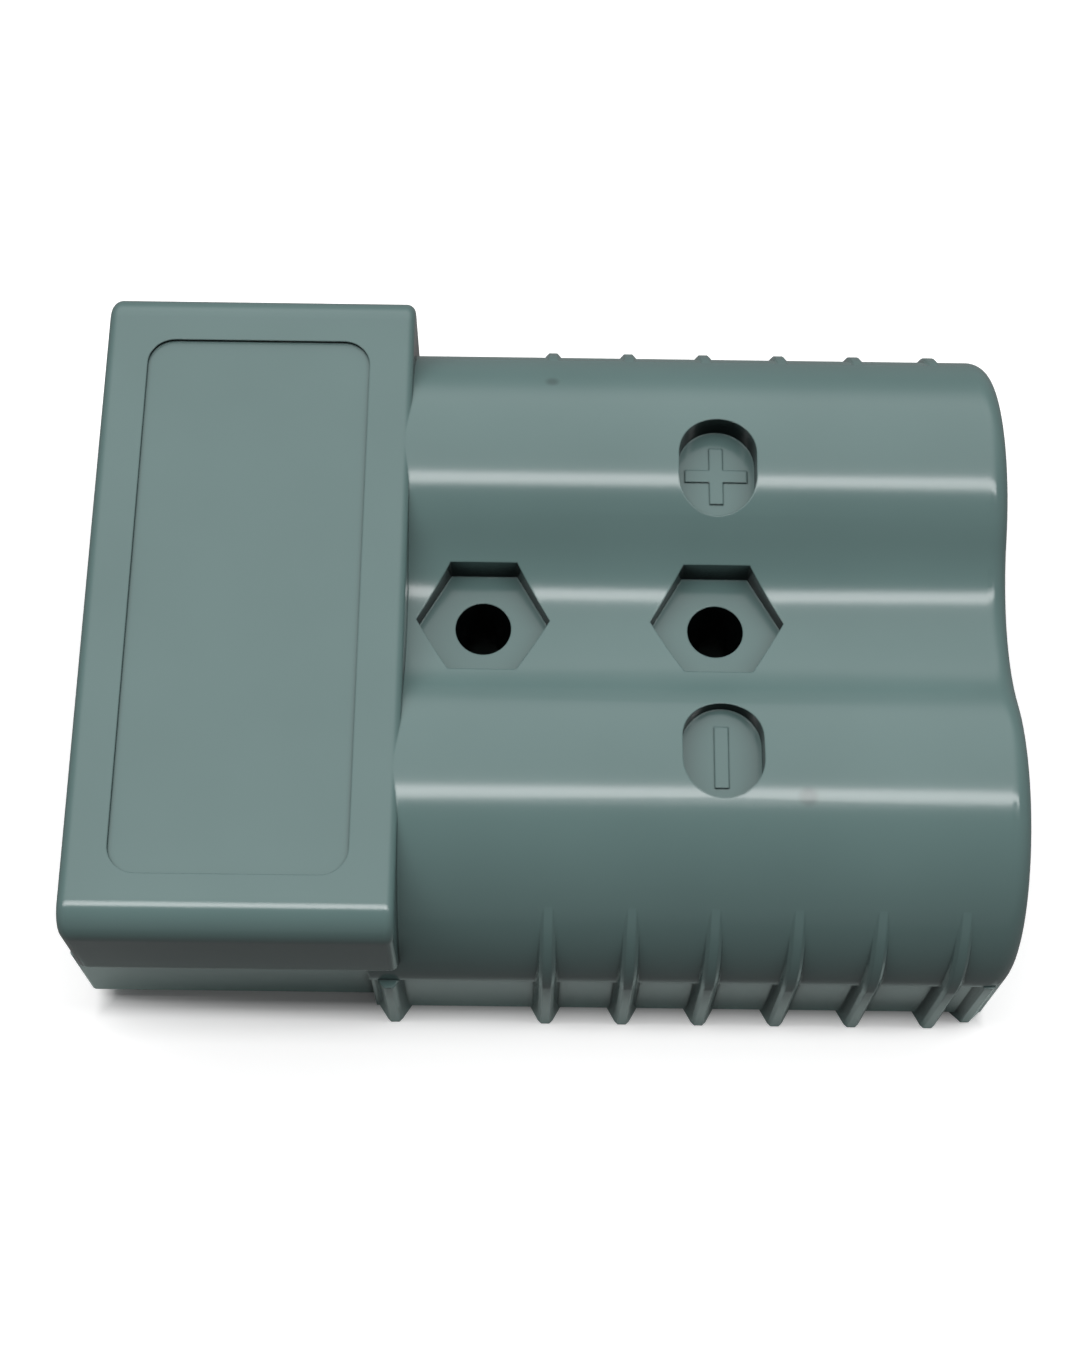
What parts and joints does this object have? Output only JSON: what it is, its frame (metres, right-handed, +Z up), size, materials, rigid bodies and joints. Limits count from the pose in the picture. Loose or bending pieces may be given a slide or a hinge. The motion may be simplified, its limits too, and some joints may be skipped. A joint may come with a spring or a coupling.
{
  "type": "genderless power connector",
  "caption": "Genderless two-pole power connector: moulded grey housing with a hood and tongue, sprung flat contacts, crimp barrels, grip ribs and bolt holes.",
  "frame": {"origin": "centre of the outer box at the flat underside", "axes": "+X from the mating end to the cable end, +Y to the positive pole, +Z up through the panel on top of the hood"},
  "size_m": [0.1094, 0.0818, 0.0366],
  "materials": {
    "housing": "moulded grey polycarbonate, semi-matt",
    "contact": "silver-plated copper, satin",
    "spring": "cold-rolled spring steel"
  },
  "bodies": {
    "root": {"housing": "housing", "contact_positive": "contact", "contact_negative": "contact", "spring_positive": "spring", "spring_negative": "spring"}
  },
  "joints": []
}
